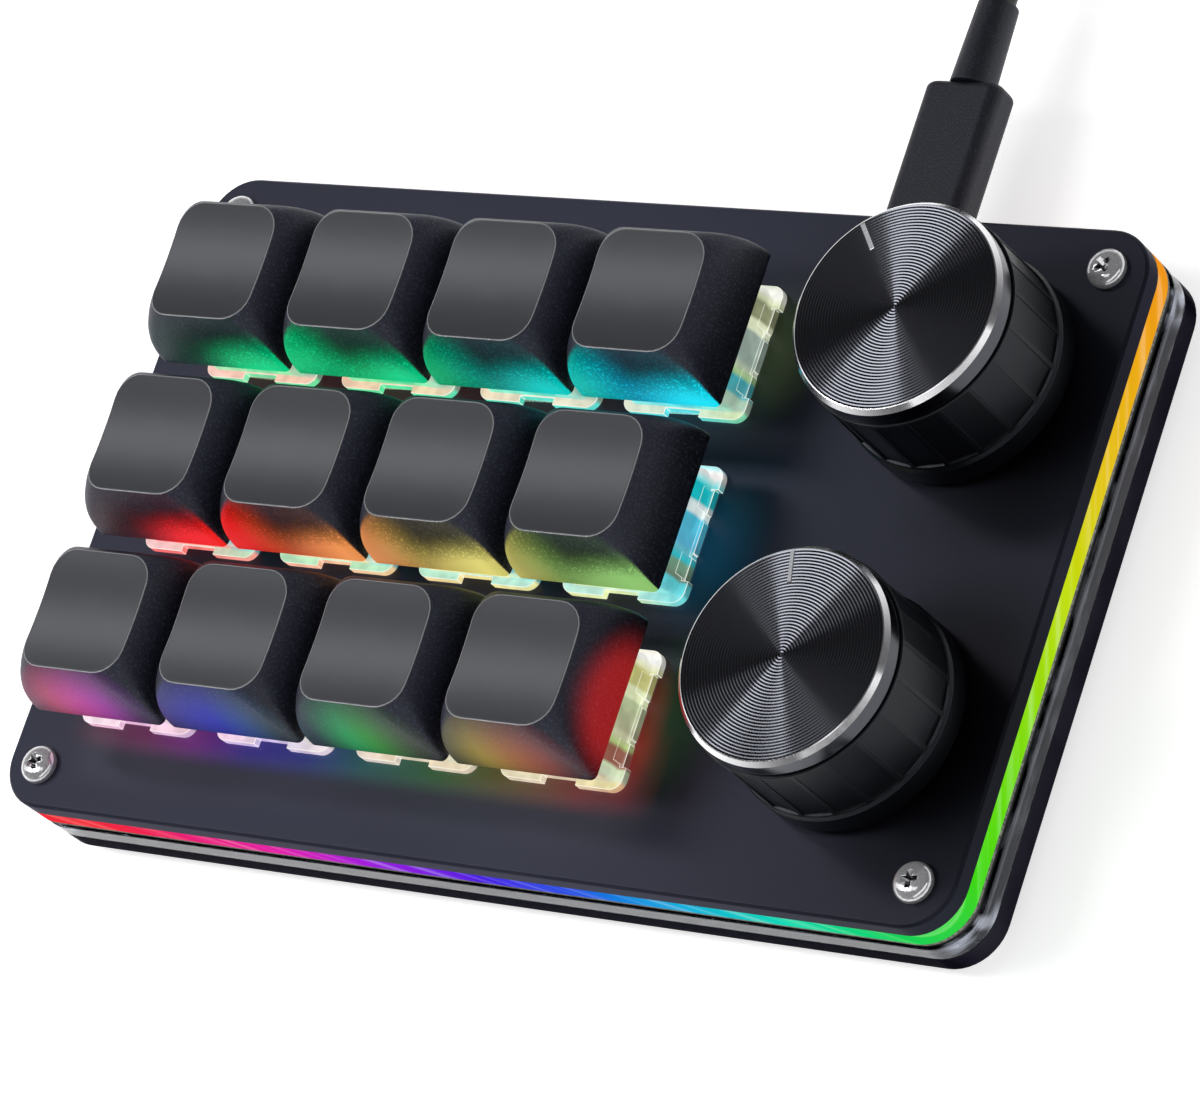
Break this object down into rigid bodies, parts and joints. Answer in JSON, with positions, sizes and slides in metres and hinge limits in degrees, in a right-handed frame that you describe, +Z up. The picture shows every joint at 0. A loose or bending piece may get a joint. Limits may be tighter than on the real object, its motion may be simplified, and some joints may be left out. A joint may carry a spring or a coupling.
{
  "type": "macro keypad with knobs",
  "caption": "Small desk keypad: a screwed stack of plates with lit edges, mechanical push keys in a grid, knobs that turn and press, and a cable.",
  "frame": {"origin": "on the table under the centre of the plates, at the rubber feet's lower faces", "axes": "+X along the rows of keys towards the knobs, +Y to the back edge with the cable, +Z up"},
  "size_m": [0.1234, 0.1834, 0.0299],
  "materials": {
    "black_face": "satin",
    "black_base": "satin",
    "lit_guide": "translucent, lit from inside",
    "clear_acrylic": "polished clear acrylic",
    "black_board": "solder mask",
    "screw_steel": "bright zinc",
    "post_nickel": "nickel plated",
    "foot_rubber": "matt",
    "milky_housing": "milky, lit from inside",
    "spring_steel": "wire",
    "led_body": "white lamp body",
    "pin_brass": "tinned",
    "encoder_metal": "die cast",
    "chip_black": "moulded",
    "socket_steel": "nickel plated",
    "cable_moulding": "fine grained",
    "cable_jacket": "smooth jacket",
    "strap_fabric": "hook and loop",
    "stem_plastic": "moulded",
    "keycap_black": "fine grained",
    "rotor_plastic": "moulded",
    "shaft_metal": "turned",
    "knob_sleeve": "satin",
    "knob_disc": "black anodised, spun"
  },
  "bodies": {
    "base": {"top_plate": "black_face", "bottom_plate": "black_base", "light_guide": "lit_guide", "clear_frame": "clear_acrylic", "circuit_board": "black_board", "corner_screws": "screw_steel", "base_screws": "screw_steel", "corner_posts": "post_nickel", "rubber_feet": "foot_rubber", "switch_bases": "milky_housing", "switch_covers": "milky_housing", "key_springs": "spring_steel", "key_leds": "led_body", "edge_leds": "led_body", "switch_pins": "pin_brass", "encoder_housings": "encoder_metal", "board_parts": "chip_black", "usb_socket": "socket_steel", "usb_plug_shell": "socket_steel", "host_plug_shell": "socket_steel", "usb_plug": "cable_moulding", "cable_relief": "cable_moulding", "host_plug": "cable_moulding", "usb_cable": "cable_jacket", "cable_tail": "cable_jacket", "cable_coil": "cable_jacket", "cable_tie": "strap_fabric"},
    "key_r1c1": {"keycap_r1c1": "keycap_black", "switch_stem_r1c1": "stem_plastic"},
    "key_r1c2": {"keycap_r1c2": "keycap_black", "switch_stem_r1c2": "stem_plastic"},
    "key_r1c3": {"keycap_r1c3": "keycap_black", "switch_stem_r1c3": "stem_plastic"},
    "key_r1c4": {"keycap_r1c4": "keycap_black", "switch_stem_r1c4": "stem_plastic"},
    "key_r2c1": {"keycap_r2c1": "keycap_black", "switch_stem_r2c1": "stem_plastic"},
    "key_r2c2": {"keycap_r2c2": "keycap_black", "switch_stem_r2c2": "stem_plastic"},
    "key_r2c3": {"keycap_r2c3": "keycap_black", "switch_stem_r2c3": "stem_plastic"},
    "key_r2c4": {"keycap_r2c4": "keycap_black", "switch_stem_r2c4": "stem_plastic"},
    "key_r3c1": {"keycap_r3c1": "keycap_black", "switch_stem_r3c1": "stem_plastic"},
    "key_r3c2": {"keycap_r3c2": "keycap_black", "switch_stem_r3c2": "stem_plastic"},
    "key_r3c3": {"keycap_r3c3": "keycap_black", "switch_stem_r3c3": "stem_plastic"},
    "key_r3c4": {"keycap_r3c4": "keycap_black", "switch_stem_r3c4": "stem_plastic"},
    "rotor_upper": {"encoder_rotor_upper": "rotor_plastic"},
    "knob_upper": {"encoder_shaft_upper": "shaft_metal", "knob_body_upper": "knob_sleeve", "knob_disc_upper": "knob_disc"},
    "rotor_lower": {"encoder_rotor_lower": "rotor_plastic"},
    "knob_lower": {"encoder_shaft_lower": "shaft_metal", "knob_body_lower": "knob_sleeve", "knob_disc_lower": "knob_disc"}
  },
  "joints": [
    {"name": "press_r1c1", "type": "slide", "parent": "base", "child": "key_r1c1", "axis": [0, 0, -1], "range_m": [0, 0.004], "stiffness_N_per_m": 120, "springref_m": -0.004, "deforming": ["key_springs"]},
    {"name": "press_r1c2", "type": "slide", "parent": "base", "child": "key_r1c2", "axis": [0, 0, -1], "range_m": [0, 0.004], "stiffness_N_per_m": 120, "springref_m": -0.004, "deforming": ["key_springs"]},
    {"name": "press_r1c3", "type": "slide", "parent": "base", "child": "key_r1c3", "axis": [0, 0, -1], "range_m": [0, 0.004], "stiffness_N_per_m": 120, "springref_m": -0.004, "deforming": ["key_springs"]},
    {"name": "press_r1c4", "type": "slide", "parent": "base", "child": "key_r1c4", "axis": [0, 0, -1], "range_m": [0, 0.004], "stiffness_N_per_m": 120, "springref_m": -0.004, "deforming": ["key_springs"]},
    {"name": "press_r2c1", "type": "slide", "parent": "base", "child": "key_r2c1", "axis": [0, 0, -1], "range_m": [0, 0.004], "stiffness_N_per_m": 120, "springref_m": -0.004, "deforming": ["key_springs"]},
    {"name": "press_r2c2", "type": "slide", "parent": "base", "child": "key_r2c2", "axis": [0, 0, -1], "range_m": [0, 0.004], "stiffness_N_per_m": 120, "springref_m": -0.004, "deforming": ["key_springs"]},
    {"name": "press_r2c3", "type": "slide", "parent": "base", "child": "key_r2c3", "axis": [0, 0, -1], "range_m": [0, 0.004], "stiffness_N_per_m": 120, "springref_m": -0.004, "deforming": ["key_springs"]},
    {"name": "press_r2c4", "type": "slide", "parent": "base", "child": "key_r2c4", "axis": [0, 0, -1], "range_m": [0, 0.004], "stiffness_N_per_m": 120, "springref_m": -0.004, "deforming": ["key_springs"]},
    {"name": "press_r3c1", "type": "slide", "parent": "base", "child": "key_r3c1", "axis": [0, 0, -1], "range_m": [0, 0.004], "stiffness_N_per_m": 120, "springref_m": -0.004, "deforming": ["key_springs"]},
    {"name": "press_r3c2", "type": "slide", "parent": "base", "child": "key_r3c2", "axis": [0, 0, -1], "range_m": [0, 0.004], "stiffness_N_per_m": 120, "springref_m": -0.004, "deforming": ["key_springs"]},
    {"name": "press_r3c3", "type": "slide", "parent": "base", "child": "key_r3c3", "axis": [0, 0, -1], "range_m": [0, 0.004], "stiffness_N_per_m": 120, "springref_m": -0.004, "deforming": ["key_springs"]},
    {"name": "press_r3c4", "type": "slide", "parent": "base", "child": "key_r3c4", "axis": [0, 0, -1], "range_m": [0, 0.004], "stiffness_N_per_m": 120, "springref_m": -0.004, "deforming": ["key_springs"]},
    {"name": "turn_upper", "type": "hinge", "parent": "base", "child": "rotor_upper", "pos_m": [0.0447, 0.0208, 0.0136], "axis": [0, 0, 1], "continuous": true},
    {"name": "press_knob_upper", "type": "slide", "parent": "rotor_upper", "child": "knob_upper", "axis": [0, 0, -1], "range_m": [0, 0.0005], "stiffness_N_per_m": 2000, "springref_m": -0.001},
    {"name": "turn_lower", "type": "hinge", "parent": "base", "child": "rotor_lower", "pos_m": [0.0447, -0.01745, 0.0136], "axis": [0, 0, 1], "continuous": true},
    {"name": "press_knob_lower", "type": "slide", "parent": "rotor_lower", "child": "knob_lower", "axis": [0, 0, -1], "range_m": [0, 0.0005], "stiffness_N_per_m": 2000, "springref_m": -0.001}
  ]
}
